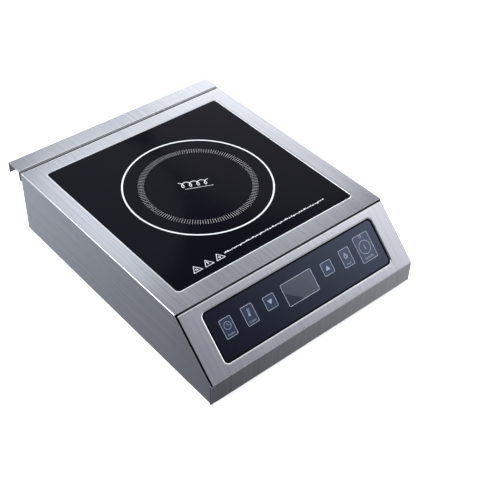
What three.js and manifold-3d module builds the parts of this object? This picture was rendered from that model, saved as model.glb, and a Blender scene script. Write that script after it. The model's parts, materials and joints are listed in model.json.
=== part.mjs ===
// Countertop induction hob: a bent steel cover with a flush glass plate, a sloping front panel
// with six keys and a display window, a shelf-like guard along the rear edge, four rubber feet,
// and inside it the coil, two fans, the power board and the control board.
//
// Millimetres, +Z up, front towards -Y. The origin is on the floor, under the middle of the
// outline, rear guard included.

import * as THREE from 'three';
import { mergeVertices } from 'three/addons/utils/BufferGeometryUtils.js';
import Module from 'manifold-3d';

const wasm = await Module();
wasm.setup();

// ---------------------------------------------------------------- driving dimensions

const WIDTH = 330;
const DEPTH = 425;
const HEIGHT = 105;
const SHEET = 1;               // steel sheet thickness
const GAP = 0.3;               // between pieces that touch

const FOOT_HEIGHT = 10.5;
const SLOPE_RUN = 65.5;        // the sloping panel, seen from above
const SLOPE_DROP = 62.5;
const GUARD_REACH = 31.5;      // from the cover's rear edge to the guard's rear face

const HALF = WIDTH / 2;
const FRONT = -DEPTH / 2;
const REAR = DEPTH / 2;
const SEAM = FRONT + SLOPE_RUN;             // where the cover meets the sloping panel
const COVER_REAR = REAR - GUARD_REACH;
const FLOOR = FOOT_HEIGHT;                  // underside of the casing
const SLOPE_ANGLE = Math.atan2(SLOPE_DROP, SLOPE_RUN);

const GLASS_CENTRE_Y = 19.2;
const CUTOUT_HALF = 139.7;
const GLASS_HALF = 138.6;
const GLASS_THICK = 4;
const GLASS_UNDER = HEIGHT - GLASS_THICK;

// The sloping panel's own plane: x across, "down" from the seam, "out" along its normal.
const WINDOW = { half: 135.6, top: 13.7, bottom: 78.2, corner: 6 };
const OVERLAY_TOP = -SHEET - GAP;
const OVERLAY_THICK = 1.5;
const OVERLAY_MARGIN = 2.4;    // how far the overlay reaches under the panel
const KEY_PITCH = 32;
const DISPLAY = { x: -2, down: 45.5, width: 49, length: 29 };
const BOARD_TOP = -11;
const BOARD_THICK = 1.6;

const PAN_TOP = FLOOR + SHEET + GAP + SHEET;   // upper face of the base pan's floor
const FAN = { x: 75, y: -95, size: 80, height: 25, bore: 37.5 };
const MAIN_BOARD = { half: 74, front: -38, rear: 142, under: 20 };
const MAIN_TOP = MAIN_BOARD.under + BOARD_THICK;
const GLAND = { x: 120, z: 38, bore: 5.5, thread: 8.6 };
const FEET = [[-125, -170], [125, -170], [-125, 145], [125, 145]];
const COIL_POST_RADIUS = 95;
const COIL_POST_ANGLES = [30, 150, 270];
const FERRITE_COUNT = 6;

// ---------------------------------------------------------------- materials

const material = (color, roughness, metalness, extra = {}) =>
  new THREE.MeshStandardMaterial({ color, roughness, metalness, ...extra });

const steel = material(0xb9bbc1, 0.35, 1);
const zincSteel = material(0xa7a9a6, 0.5, 0.9);
const glassBlack = material(0x0c0c10, 0.05, 0);
const blackPlastic = material(0x18181a, 0.6, 0);
const overlayBlack = material(0x191b23, 0.25, 0);
const keyBlue = material(0x4b5369, 0.35, 0);
const smokedAcrylic = material(0x6b7077, 0.1, 0, { transparent: true, opacity: 0.7 });
const rubber = material(0x141414, 0.9, 0);
const boardGreen = material(0x1f5a35, 0.5, 0);
const aluminium = material(0xc4c7ca, 0.4, 1);
const copper = material(0xb66a3a, 0.4, 1);
const ferriteGrey = material(0x35363a, 0.7, 0.1);
const micaWhite = material(0xd9d3c3, 0.8, 0);
const capacitorYellow = material(0xc9a12c, 0.5, 0);

// ---------------------------------------------------------------- shapes and solids

const radians = (degrees) => THREE.MathUtils.degToRad(degrees);

// A polyline whose corners [x, y, radius] are rounded by arcs, as a list of points.
function filleted(corners, closed) {
  const points = [];
  corners.forEach(([x, y, radius = 0], index) => {
    const here = new THREE.Vector2(x, y);
    const isEnd = !closed && (index === 0 || index === corners.length - 1);
    if (isEnd || radius === 0) {
      points.push(here);
      return;
    }
    const before = new THREE.Vector2(...corners.at(index - 1));
    const after = new THREE.Vector2(...corners[(index + 1) % corners.length]);
    const into = here.clone().sub(before).normalize();
    const out = after.sub(here).normalize();
    const turn = Math.atan2(into.cross(out), into.dot(out));
    const reach = radius * Math.tan(Math.abs(turn) / 2);
    const normal = new THREE.Vector2(-into.y, into.x).multiplyScalar(Math.sign(turn));
    const centre = here.clone().addScaledVector(into, -reach).addScaledVector(normal, radius);
    const steps = Math.max(2, Math.ceil(Math.abs(turn) / radians(30)));
    for (let step = 0; step <= steps; step += 1) {
      const arm = normal.clone().multiplyScalar(-radius);
      arm.rotateAround(new THREE.Vector2(), turn * step / steps);
      points.push(centre.clone().add(arm));
    }
  });
  return points;
}

const outline = (corners) => new THREE.Shape(filleted(corners, true));

// The section of a sheet bent along a path of corners; the sheet lies on side +1, left of the
// path, or -1, right of it.
function bentSheet(path, side) {
  const inner = path.map(([x, y, radius = 0], index) => {
    const here = new THREE.Vector2(x, y);
    const toPrevious = path[Math.max(index - 1, 0)];
    const toNext = path[Math.min(index + 1, path.length - 1)];
    const into = here.clone().sub(new THREE.Vector2(toPrevious[0], toPrevious[1]));
    const out = new THREE.Vector2(toNext[0], toNext[1]).sub(here);
    const first = (into.lengthSq() > 0 ? into : out).clone().normalize();
    const second = (out.lengthSq() > 0 ? out : into).clone().normalize();
    const turn = Math.atan2(first.cross(second), first.dot(second));
    const middle = first.add(second).normalize();
    const reach = side * SHEET / Math.cos(turn / 2);
    const shrink = Math.sign(turn) * side * SHEET;
    return [x - middle.y * reach, y + middle.x * reach, radius > 0 ? Math.max(radius - shrink, 0.2) : 0];
  });
  return new THREE.Shape([...filleted(path, false), ...filleted(inner, false).reverse()]);
}

function roundedRectangle(x0, x1, y0, y1, radius) {
  return outline([[x0, y0, radius], [x1, y0, radius], [x1, y1, radius], [x0, y1, radius]]);
}

const extrude = (shape, depth) => new THREE.ExtrudeGeometry(shape, { depth, bevelEnabled: false });

// A level plate of the given outline.
function plate(shape, z0, z1) {
  return extrude(shape, z1 - z0).translate(0, 0, z0);
}

// A section drawn in (y, z), extruded across from x0 to x1.
function alongX(shape, x0, x1) {
  const axes = new THREE.Matrix4().makeBasis(
    new THREE.Vector3(0, 1, 0), new THREE.Vector3(0, 0, 1), new THREE.Vector3(1, 0, 0));
  return extrude(shape, x1 - x0).applyMatrix4(axes).translate(x0, 0, 0);
}

// A section drawn in (x, z), extruded from front to rear.
function alongY(shape, y0, y1) {
  return extrude(shape, y1 - y0).rotateX(Math.PI / 2).translate(0, y1, 0);
}

function box(x0, x1, y0, y1, z0, z1) {
  const geometry = new THREE.BoxGeometry(x1 - x0, y1 - y0, z1 - z0);
  return geometry.translate((x0 + x1) / 2, (y0 + y1) / 2, (z0 + z1) / 2);
}

function cylinder(x, y, z0, z1, radius, sides = 20) {
  const geometry = new THREE.CylinderGeometry(radius, radius, z1 - z0, sides);
  return geometry.rotateX(Math.PI / 2).translate(x, y, (z0 + z1) / 2);
}

// A turned piece: its profile is a list of [radius, height], closed on the axis or on itself.
function turned(profile, sides = 24) {
  const points = [...profile, profile[0]].map(([radius, height]) => new THREE.Vector2(radius, height));
  return new THREE.LatheGeometry(points, sides).rotateX(Math.PI / 2);
}

function solid(geometry) {
  const bare = geometry.clone();
  bare.deleteAttribute('normal');
  bare.deleteAttribute('uv');
  const merged = mergeVertices(bare, 1e-4);
  // Snapped to a fine grid, so that faces meant to be flush are exactly flush.
  const snapped = merged.attributes.position.array.map((value) => Math.round(value * 1e4) / 1e4);
  return new wasm.Manifold(new wasm.Mesh({
    numProp: 3,
    vertProperties: new Float32Array(snapped),
    triVerts: new Uint32Array(merged.index.array),
  }));
}

function carved({ join, cut = [] }) {
  const [first, ...others] = join.map(solid);
  const whole = others.reduce((sum, piece) => sum.add(piece), first);
  const result = cut.map(solid).reduce((rest, tool) => rest.subtract(tool), whole).getMesh();
  const geometry = new THREE.BufferGeometry();
  geometry.setAttribute('position', new THREE.BufferAttribute(result.vertProperties, 3));
  geometry.setIndex(new THREE.BufferAttribute(result.triVerts, 1));
  return geometry;
}

const hob = new THREE.Group();
const slope = new THREE.Group();
slope.position.set(0, SEAM, HEIGHT);
slope.rotation.x = SLOPE_ANGLE;
hob.add(slope);

function add(name, geometry, look, parent = hob) {
  const mesh = new THREE.Mesh(geometry, look);
  mesh.name = name;
  parent.add(mesh);
  return mesh;
}

// The (y, z) of a point given in the sloping panel's plane.
function onSlope(down, out) {
  return [
    SEAM - down * Math.cos(SLOPE_ANGLE) - out * Math.sin(SLOPE_ANGLE),
    HEIGHT - down * Math.sin(SLOPE_ANGLE) + out * Math.cos(SLOPE_ANGLE),
  ];
}

function toSlope(geometry) {
  slope.updateMatrix();
  return geometry.applyMatrix4(slope.matrix);
}

// ---------------------------------------------------------------- casing

const BEND = 2;                // outer radius of the cover's bends
const LIP = 14;                // width of the cover's bottom lips
const SIDE_SETBACK = 2.2;      // the sides stop this far under the sloping panel's face
const PANEL_HALF = 163.7;      // the sloping panel is a little narrower than the cover

function makeCover() {
  const section = bentSheet([
    [-HALF + LIP, FLOOR],
    [-HALF, FLOOR, BEND],
    [-HALF, HEIGHT, BEND],
    [HALF, HEIGHT, BEND],
    [HALF, FLOOR, BEND],
    [HALF - LIP, FLOOR],
  ], -1);
  const coverFront = SEAM + 0.4;
  const sideFront = FRONT + SHEET + GAP;
  const slopeLine = (y) => {
    const [y0, z0] = onSlope(0, -SIDE_SETBACK);
    return z0 + (y - y0) * Math.tan(SLOPE_ANGLE);
  };
  const wedge = outline([
    [coverFront, slopeLine(coverFront)],
    [coverFront, HEIGHT + 10],
    [FRONT - 10, HEIGHT + 10],
    [FRONT - 10, slopeLine(FRONT - 10)],
  ]);
  const cutout = roundedRectangle(
    -CUTOUT_HALF, CUTOUT_HALF, GLASS_CENTRE_Y - CUTOUT_HALF, GLASS_CENTRE_Y + CUTOUT_HALF, 5);
  const flange = (y0, y1) => box(-HALF + 6, HALF - 6, y0, y1, HEIGHT - 8, HEIGHT - SHEET / 2);
  return carved({
    join: [
      alongY(section, sideFront, COVER_REAR),
      flange(coverFront + 0.2, coverFront + SHEET + 0.2),
      flange(COVER_REAR - SHEET - 0.2, COVER_REAR - 0.2),
    ],
    cut: [alongX(wedge, -HALF - 5, HALF + 5), plate(cutout, HEIGHT - 5, HEIGHT + 5)],
  });
}

function makeFrontPanel() {
  const top = SEAM - 0.5;
  const topHeight = HEIGHT - 0.5 * Math.tan(SLOPE_ANGLE);
  const skin = bentSheet([
    [top, HEIGHT - 8],
    [top, topHeight, 1.2],
    [FRONT, HEIGHT - SLOPE_DROP, 3],
    [FRONT, FLOOR, 1.5],
    [FRONT + 12, FLOOR],
  ], 1);
  const window = roundedRectangle(-WINDOW.half, WINDOW.half, -WINDOW.bottom, -WINDOW.top, WINDOW.corner);
  const atBothEnds = (x, y0, y1, z0, z1) => [
    box(-HALF - 1, -x, y0, y1, z0, z1),
    box(x, HALF + 1, y0, y1, z0, z1),
  ];
  return carved({
    join: [alongX(skin, -HALF, HALF)],
    cut: [
      toSlope(plate(window, -5, 5)),
      ...atBothEnds(PANEL_HALF, FRONT - 1, SEAM, HEIGHT - SLOPE_DROP - 3, HEIGHT + 1),
      ...atBothEnds(HALF - LIP - 0.5, FRONT + SHEET + 0.1, SEAM, FLOOR - 1, FLOOR + 5),
    ],
  });
}

function makeRearPanel() {
  const front = COVER_REAR + GAP;
  const slots = [];
  for (let row = 0; row < 7; row += 1) {
    for (const x of [-145, -75, -5]) {
      slots.push(box(x, x + 62, front - 1, front + SHEET + 1, 30 + row * 8, 34 + row * 8));
    }
  }
  const glandHole = new THREE.CylinderGeometry(GLAND.thread + GAP, GLAND.thread + GAP, 8, 24);
  return carved({
    join: [box(-HALF + 0.5, HALF - 0.5, front, front + SHEET, FLOOR + 0.5, HEIGHT - 2.5)],
    cut: [...slots, glandHole.translate(GLAND.x, front, GLAND.z)],
  });
}

function makeRearGuard() {
  const front = COVER_REAR + 1.8;
  const section = bentSheet([
    [front, HEIGHT - 15.3],
    [front, HEIGHT, 2.5],
    [REAR, HEIGHT, 2],
    [REAR, HEIGHT - 16.7],
  ], -1);
  return alongX(section, -HALF, HALF);
}

// The floor, folded up on all four sides, with an intake grille under each fan.
function makeBasePan() {
  const [x, front, rear] = [HALF - SHEET - 2 * GAP, FRONT + SHEET + GAP, COVER_REAR - 0.1];
  const [under, wall] = [PAN_TOP - SHEET, 24];
  const posts = [-1, 1].flatMap((side) => [MAIN_BOARD.front + 6, MAIN_BOARD.rear - 6].map(
    (y) => cylinder(side * (MAIN_BOARD.half - 6), y, under + 0.2, MAIN_BOARD.under - GAP, 3.2, 12)));
  const intake = [-1, 1].flatMap((side) => [-4, -3, -2, -1, 0, 1, 2, 3, 4].map((row) => {
    const half = Math.sqrt(35 ** 2 - (row * 7.5) ** 2);
    const y = FAN.y + row * 7.5;
    return box(side * FAN.x - half, side * FAN.x + half, y - 2, y + 2, under - 1, PAN_TOP + 1);
  }));
  const screwHoles = FEET.map(([fx, fy]) => cylinder(fx, fy, under - 1, PAN_TOP + 1, 2.3, 12));
  const tray = carved({
    join: [box(-x, x, front, rear, under, wall)],
    cut: [box(-x + SHEET, x - SHEET, front + SHEET, rear - SHEET, PAN_TOP, wall + 1)],
  });
  return carved({ join: [tray, ...posts], cut: [...intake, ...screwHoles] });
}

function makeFoot() {
  return turned([[4.5, 0], [14, 0], [15, 1], [13.5, FOOT_HEIGHT + SHEET], [2.3, FOOT_HEIGHT + SHEET],
    [2.3, 5], [4.5, 5]]);
}

function makeFootScrew() {
  return turned([[0, 2], [3.6, 2], [4, 2.6], [4, 4.7], [2, 4.7], [2, 17], [0, 17]], 12);
}

// ---------------------------------------------------------------- glass top

const squareRing = (outer, inner, z0, z1, radius) => carved({
  join: [plate(roundedRectangle(-outer, outer, -outer, outer, radius), z0, z1)],
  cut: [plate(roundedRectangle(-inner, inner, -inner, inner, radius - 1), z0 - 1, z1 + 1)],
});

function makeGlass() {
  return plate(roundedRectangle(-GLASS_HALF, GLASS_HALF, -GLASS_HALF, GLASS_HALF, 4.5), GLASS_UNDER, HEIGHT);
}

// A silicone bed under the glass's edge, with a thin rib up into the joint around it.
function makeSeal() {
  const bed = GLASS_UNDER - GAP;
  return carved({
    join: [
      squareRing(146, 133, bed - 1, bed, 8),
      squareRing(CUTOUT_HALF - GAP, GLASS_HALF + GAP, bed - 0.5, HEIGHT - 0.6, 5),
    ],
  });
}

// The ledge welded under the cover, which the silicone bed lies on.
function makeGlassSupport() {
  const top = GLASS_UNDER - GAP - 1 - GAP;
  const rim = HEIGHT - SHEET - GAP;
  const square = (half, radius, z0, z1) => plate(roundedRectangle(-half, half, -half, half, radius), z0, z1);
  return carved({
    join: [square(150, 10, top - SHEET, rim)],
    cut: [square(149, 9, top, rim + 1), square(132, 6, top - SHEET - 1, top + 1)],
  });
}

// ---------------------------------------------------------------- controls, in the panel's plane

const KEYS = [
  { name: 'key_timer', x: -47.3 - 2 * KEY_PITCH, down: 42.5, width: 17, length: 24 },
  { name: 'key_temperature', x: -47.3 - KEY_PITCH, down: 42.5, width: 17, length: 24 },
  { name: 'key_down', x: -47.3, down: 42, width: 17, length: 17.5 },
  { name: 'key_up', x: 45.3, down: 42, width: 17, length: 17.5 },
  { name: 'key_power_level', x: 45.3 + KEY_PITCH, down: 43, width: 17, length: 24 },
  { name: 'key_on_off', x: 45.3 + 2 * KEY_PITCH, down: 43.8, width: 25.8, length: 35.5 },
];
const KEY_FLANGE = 1.2;

function panelRectangle({ x, down, width, length }, margin, radius) {
  const [w, h] = [width / 2 + margin, length / 2 + margin];
  return roundedRectangle(x - w, x + w, -down - h, -down + h, radius);
}

function makeOverlay() {
  const { half, top, bottom, corner } = WINDOW;
  const shape = roundedRectangle(-half - OVERLAY_MARGIN, half + OVERLAY_MARGIN,
    -bottom - OVERLAY_MARGIN, -top + OVERLAY_MARGIN, corner + 1);
  const holes = [...KEYS, DISPLAY].map(
    (place) => plate(panelRectangle(place, GAP, 1.5), OVERLAY_TOP - 3, OVERLAY_TOP + 1));
  return carved({ join: [plate(shape, OVERLAY_TOP - OVERLAY_THICK, OVERLAY_TOP)], cut: holes });
}

// A cap in the overlay's hole, on a wider flange that keeps it in.
function flangedCap(place, top) {
  const flangeTop = OVERLAY_TOP - OVERLAY_THICK - GAP;
  return [
    plate(panelRectangle(place, 0, 1.2), flangeTop - 0.5, top),
    plate(panelRectangle(place, KEY_FLANGE, 1.2), flangeTop - 1, flangeTop),
  ];
}

function makeKey(place) {
  const stem = cylinder(place.x, -place.down, -6.4, OVERLAY_TOP - OVERLAY_THICK - 1, 3, 12);
  return carved({ join: [...flangedCap(place, OVERLAY_TOP + 0.2), stem] });
}

function makeControlBoard() {
  const board = plate(roundedRectangle(-128, 128, -77, -15, 3), BOARD_TOP - BOARD_THICK, BOARD_TOP);
  const switches = KEYS.flatMap(({ x, down }) => [
    box(x - 3, x + 3, -down - 3, -down + 3, BOARD_TOP - 0.2, -7.6),
    cylinder(x, -down, -8, -7, 1.6, 10),
  ]);
  return carved({ join: [board, ...switches] });
}

// A tray behind the sloping panel that carries the control board.
function makeControlBracket() {
  const [x, upper, lower, back, rim] = [133, -13, -79, -17, -3.1];
  const posts = [[-120, -22], [120, -22], [-120, -70], [120, -70]].map(
    ([px, py]) => cylinder(px, py, back + 0.5, BOARD_TOP - BOARD_THICK - GAP, 2.5, 10));
  const tray = carved({
    join: [box(-x, x, lower, upper, back, rim)],
    cut: [box(-x + SHEET, x - SHEET, lower + SHEET, upper - SHEET, back + SHEET, rim + 1)],
  });
  return carved({ join: [tray, ...posts], cut: [box(8, 30, -56, -38, back - 1, back + 2)] });
}

// The flat cable hangs from the control board, passes between the fans and ends on the main board.
function makeRibbon() {
  const path = [
    [...onSlope(47, BOARD_TOP - BOARD_THICK - GAP), 0],
    [...onSlope(47, -26), 8],
    [-142, 42, 12],
    [-62, 36, 12],
    [-44, MAIN_TOP + GAP + 0.1, 6],
    [-28, MAIN_TOP + GAP + 0.1, 0],
  ];
  return alongX(bentSheet(path, 1), 12, 26);
}

// ---------------------------------------------------------------- coil

const COIL = { inner: 26, outer: 92, under: 91, top: 97.1 };
const CARRIER_TOP = COIL.under - GAP;
const CARRIER_UNDER = CARRIER_TOP - 3;
const CUP_UNDER = 80;

// A disc with a cup in the middle for the sensor's spring.
function makeCarrier() {
  return turned([[0, CUP_UNDER], [16, CUP_UNDER], [16, CARRIER_UNDER], [102, CARRIER_UNDER],
    [102, CARRIER_TOP], [14, CARRIER_TOP], [14, CUP_UNDER + 2], [0, CUP_UNDER + 2]], 48);
}

function makeSpring() {
  const [turns, radius, wire, bottom, top] = [4, 6.5, 0.7, CUP_UNDER + 2 + GAP + 0.7, 94.7];
  class Helix extends THREE.Curve {
    getPoint(t, target = new THREE.Vector3()) {
      const angle = t * turns * 2 * Math.PI;
      return target.set(radius * Math.cos(angle), radius * Math.sin(angle), bottom + t * (top - bottom));
    }
  }
  const section = new THREE.Shape();
  section.absarc(0, 0, wire, 0, 2 * Math.PI);
  return new THREE.ExtrudeGeometry(section, { steps: turns * 10, curveSegments: 3, extrudePath: new Helix() });
}

function makeLeadPair() {
  const route = new THREE.CatmullRomCurve3([
    new THREE.Vector3(97, GLASS_CENTRE_Y + 18, 83),
    new THREE.Vector3(106, GLASS_CENTRE_Y + 20, 70),
    new THREE.Vector3(98, GLASS_CENTRE_Y + 24, 44),
    new THREE.Vector3(80, GLASS_CENTRE_Y + 28, 32),
    new THREE.Vector3(68, GLASS_CENTRE_Y + 30, MAIN_TOP + 4),
  ]);
  const section = new THREE.Shape();
  section.absellipse(0, 0, 3, 3, 0, 2 * Math.PI);
  return new THREE.ExtrudeGeometry(section, { steps: 14, curveSegments: 4, extrudePath: route });
}

// ---------------------------------------------------------------- fans

// A square frame with a round bore, and a motor disc with its pin held by four arms.
function makeFanFrame() {
  const half = FAN.size / 2;
  const arms = [0, 90].map((turn) => box(-38, 38, -1.5, 1.5, 0.3, 2.5).rotateZ(radians(turn + 45)));
  return carved({
    join: [
      carved({
        join: [plate(roundedRectangle(-half, half, -half, half, 4), 0, FAN.height)],
        cut: [cylinder(0, 0, -1, FAN.height + 1, FAN.bore, 36)],
      }),
      ...arms,
      cylinder(0, 0, 0.2, 3, 14, 20),
      cylinder(0, 0, 2, 16, 1.5, 10),
    ],
  });
}

// A cup-shaped hub with seven blades, turning on the frame's pin.
function makeRotor() {
  const hub = turned([[2, 4], [14, 4], [15, 5], [15, 23], [0, 23], [0, 19], [2, 19]], 24);
  const blades = Array.from({ length: 7 }, (_, index) => {
    const blade = new THREE.BoxGeometry(22.5, 1.6, 20).rotateX(radians(52));
    return blade.translate(25.2, 0, 13).rotateZ(index * 2 * Math.PI / 7);
  });
  return carved({ join: [hub, ...blades] });
}

// ---------------------------------------------------------------- power electronics

// An aluminium comb: a base plate with upright fins that run from front to rear.
function makeHeatsink() {
  const [left, right, base, baseTop, top] = [-68, 8, 30, 34, 58];
  const [finCount, fin] = [9, 1.8];
  const pitch = (right - left - fin) / (finCount - 1);
  const corners = [[left, base], [right, base]];
  for (let index = finCount - 1; index >= 0; index -= 1) {
    const x = left + index * pitch;
    corners.push([x + fin, top], [x, top]);
    if (index > 0) {
      corners.push([x, baseTop], [x - pitch + fin, baseTop]);
    }
  }
  return alongY(outline(corners), -30, 60);
}

// A flat power device screwed under the heatsink, with its legs down to the board.
function makePowerDevice(x, y, width, length, legs) {
  const [under, top] = [25.2, 29.7];
  const spacing = width / (legs + 1);
  const pins = Array.from({ length: legs }, (_, index) => {
    const px = x - width / 2 + (index + 1) * spacing;
    return [
      box(px - 0.6, px + 0.6, y - length / 2 - 3, y - length / 2 + 1, 26.5, 27.5),
      box(px - 0.5, px + 0.5, y - length / 2 - 2.9, y - length / 2 - 2, MAIN_TOP + GAP, 27),
    ];
  });
  return carved({ join: [box(x - width / 2, x + width / 2, y - length / 2, y + length / 2, under, top), ...pins.flat()] });
}

const onBoard = (x0, x1, y0, y1, height) => box(x0, x1, y0, y1, MAIN_TOP + GAP, MAIN_TOP + GAP + height);

// A wound ring lying flat on the board.
function makeToroid(x, y, radius, thickness) {
  const section = Array.from({ length: 10 }, (_, index) => {
    const angle = index * 2 * Math.PI / 10;
    return [radius + thickness * Math.cos(angle), thickness * Math.sin(angle)];
  });
  return turned(section, 20).translate(x, y, MAIN_TOP + GAP + thickness);
}

// A core with its winding across the middle.
function makeTransformer() {
  const [x0, x1, y0, y1] = [-30, -4, 82, 102];
  const winding = box(x0 + 5, x1 - 5, y0 - 3, y1 + 3, MAIN_TOP + 3, MAIN_TOP + 18);
  return carved({ join: [onBoard(x0, x1, y0, y1, 20), winding] });
}

function makeTerminalBlock() {
  const slots = [0, 1, 2].map((way) => onBoard(42 + way * 10, 48 + way * 10, 112, 118, 22).translate(0, 0, 8));
  return carved({ join: [onBoard(40, 70, 114, 134, 15)], cut: slots });
}

// A gland with a cord bore, its thread through the rear panel and its nut inside.
function makeGland() {
  const outside = COVER_REAR + 2 * GAP + SHEET;
  const { bore, thread } = GLAND;
  return turned([[bore, outside - 9], [thread, outside - 9], [thread, outside], [12, outside],
    [12, outside + 4], [10, outside + 5], [10, outside + 14], [8, outside + 20], [bore, outside + 20]])
    .rotateX(-Math.PI / 2).translate(GLAND.x, 0, GLAND.z);
}

function makeGlandNut() {
  const [y0, y1] = [COVER_REAR - 4, COVER_REAR];
  const ring = (radius, margin, sides) => cylinder(0, 0, y0 - margin, y1 + margin, radius, sides)
    .rotateX(-Math.PI / 2).translate(GLAND.x, 0, GLAND.z);
  return carved({ join: [ring(14, 0, 6)], cut: [ring(GLAND.thread + GAP, 1, 24)] });
}

// ---------------------------------------------------------------- assembly

add('outer_cover', makeCover(), steel);
add('front_panel', makeFrontPanel(), steel);
add('rear_panel', makeRearPanel(), steel);
add('rear_guard', makeRearGuard(), steel);
add('base_pan', makeBasePan(), zincSteel);

FEET.forEach(([x, y], index) => {
  add(`foot_${index + 1}`, makeFoot(), rubber).position.set(x, y, 0);
  add(`foot_screw_${index + 1}`, makeFootScrew(), zincSteel).position.set(x, y, 0);
});

add('glass_plate', makeGlass(), glassBlack).position.y = GLASS_CENTRE_Y;
add('glass_seal', makeSeal(), blackPlastic).position.y = GLASS_CENTRE_Y;
add('glass_support_frame', makeGlassSupport(), zincSteel).position.y = GLASS_CENTRE_Y;

add('keypad_overlay', makeOverlay(), overlayBlack, slope);
add('display_window', carved({ join: flangedCap(DISPLAY, OVERLAY_TOP) }), smokedAcrylic, slope);
KEYS.forEach((place) => add(place.name, makeKey(place), keyBlue, slope));
add('control_board', makeControlBoard(), boardGreen, slope);
add('display_module', plate(panelRectangle(DISPLAY, -2.5, 1), BOARD_TOP + GAP, -4.6), blackPlastic, slope);
add('control_bracket', makeControlBracket(), zincSteel, slope);
add('ribbon_cable', makeRibbon(), blackPlastic);

const coil = new THREE.Group();
coil.position.y = GLASS_CENTRE_Y;
hob.add(coil);
add('coil_carrier', makeCarrier(), blackPlastic, coil);
add('litz_coil', turned([[COIL.inner, COIL.under], [COIL.outer, COIL.under], [COIL.outer, COIL.top],
  [COIL.inner, COIL.top]], 48), copper, coil);
add('mica_sheet', turned([[12, COIL.top + GAP], [99, COIL.top + GAP], [99, COIL.top + GAP + 0.6],
  [12, COIL.top + GAP + 0.6]], 40), micaWhite, coil);
for (let index = 0; index < FERRITE_COUNT; index += 1) {
  const bar = box(25, 89, -7, 7, CARRIER_UNDER - GAP - 5, CARRIER_UNDER - GAP);
  add(`ferrite_bar_${index + 1}`, bar, ferriteGrey, coil).rotation.z = index * 2 * Math.PI / FERRITE_COUNT;
}
add('temperature_sensor', cylinder(0, 0, 95.7, GLASS_UNDER - GAP, 9, 20), micaWhite, coil);
add('sensor_spring', makeSpring(), steel, coil);
add('coil_lead_pair', makeLeadPair(), rubber);
COIL_POST_ANGLES.forEach((angle, index) => {
  const post = add(`coil_post_${index + 1}`, cylinder(0, 0, PAN_TOP + GAP, CARRIER_UNDER - GAP, 5, 6), zincSteel, coil);
  post.position.set(COIL_POST_RADIUS * Math.cos(radians(angle)), COIL_POST_RADIUS * Math.sin(radians(angle)), 0);
});

[['left', -1], ['right', 1]].forEach(([name, side]) => {
  add(`fan_frame_${name}`, makeFanFrame(), blackPlastic).position.set(side * FAN.x, FAN.y, PAN_TOP + GAP);
  add(`fan_rotor_${name}`, makeRotor(), blackPlastic).position.set(side * FAN.x, FAN.y, PAN_TOP + GAP);
});

add('main_board', box(-MAIN_BOARD.half, MAIN_BOARD.half, MAIN_BOARD.front, MAIN_BOARD.rear,
  MAIN_BOARD.under, MAIN_TOP), boardGreen);
add('heatsink', makeHeatsink(), aluminium);
add('igbt', makePowerDevice(-48, 4, 16, 20, 3), blackPlastic);
add('bridge_rectifier', makePowerDevice(-14, 4, 28, 18, 4), blackPlastic);
add('resonant_capacitor', onBoard(26, 64, 60, 82, 30), capacitorYellow);
add('filter_capacitor', onBoard(26, 56, 90, 106, 24), capacitorYellow);
add('filter_choke', makeToroid(44, 6, 15, 6), copper);
add('emi_choke', makeToroid(-52, 92, 12, 5), copper);
add('transformer', makeTransformer(), ferriteGrey);
add('terminal_block', makeTerminalBlock(), micaWhite);
add('cord_gland', makeGland(), blackPlastic);
add('gland_nut', makeGlandNut(), blackPlastic);

export default hob;
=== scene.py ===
"""Looks of a countertop induction hob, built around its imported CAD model.

Every visible sheet, plate and key is made again here as a fine mesh: a flat outline with rounded edges,
cut along its bends and folded up. The pieces that stay hidden inside keep their CAD shape. Metres, +Z up,
front towards -Y.
"""

import json
import math

import bmesh
import bpy
from mathutils import Matrix, Vector


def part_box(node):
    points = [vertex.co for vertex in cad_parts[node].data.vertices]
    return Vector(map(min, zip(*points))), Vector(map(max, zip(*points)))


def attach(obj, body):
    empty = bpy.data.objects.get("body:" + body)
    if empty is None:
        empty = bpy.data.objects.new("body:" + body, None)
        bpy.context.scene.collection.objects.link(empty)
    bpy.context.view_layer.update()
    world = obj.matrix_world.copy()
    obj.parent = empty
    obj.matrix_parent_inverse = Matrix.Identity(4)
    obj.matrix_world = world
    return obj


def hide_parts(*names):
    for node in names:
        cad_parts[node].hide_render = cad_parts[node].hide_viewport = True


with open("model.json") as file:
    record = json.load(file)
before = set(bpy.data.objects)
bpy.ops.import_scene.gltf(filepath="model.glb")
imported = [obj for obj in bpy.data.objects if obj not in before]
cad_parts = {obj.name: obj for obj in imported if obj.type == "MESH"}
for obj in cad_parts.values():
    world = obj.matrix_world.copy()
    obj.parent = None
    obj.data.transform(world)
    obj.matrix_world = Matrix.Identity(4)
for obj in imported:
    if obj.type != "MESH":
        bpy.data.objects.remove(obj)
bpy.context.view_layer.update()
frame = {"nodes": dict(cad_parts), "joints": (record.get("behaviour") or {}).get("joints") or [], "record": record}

MM = 0.001
HAIR = 0.01 * MM               # smallest radius of a rounded corner

# ---------------- sizes read from the frame

SHEET = 1.0 * MM               # steel thickness
LIP = 14 * MM                  # bottom lips of the cover
BODY = "housing"

COVER_LOW, COVER_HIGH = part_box("outer_cover")
PANEL_LOW, PANEL_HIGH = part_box("front_panel")
GUARD_LOW, GUARD_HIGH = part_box("rear_guard")
GLASS_LOW, GLASS_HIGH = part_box("glass_plate")
HALF = COVER_HIGH.x
TOP = COVER_HIGH.z
FLOOR = COVER_LOW.z
FRONT = PANEL_LOW.y
REAR = GUARD_HIGH.y
COVER_REAR = COVER_HIGH.y

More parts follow.
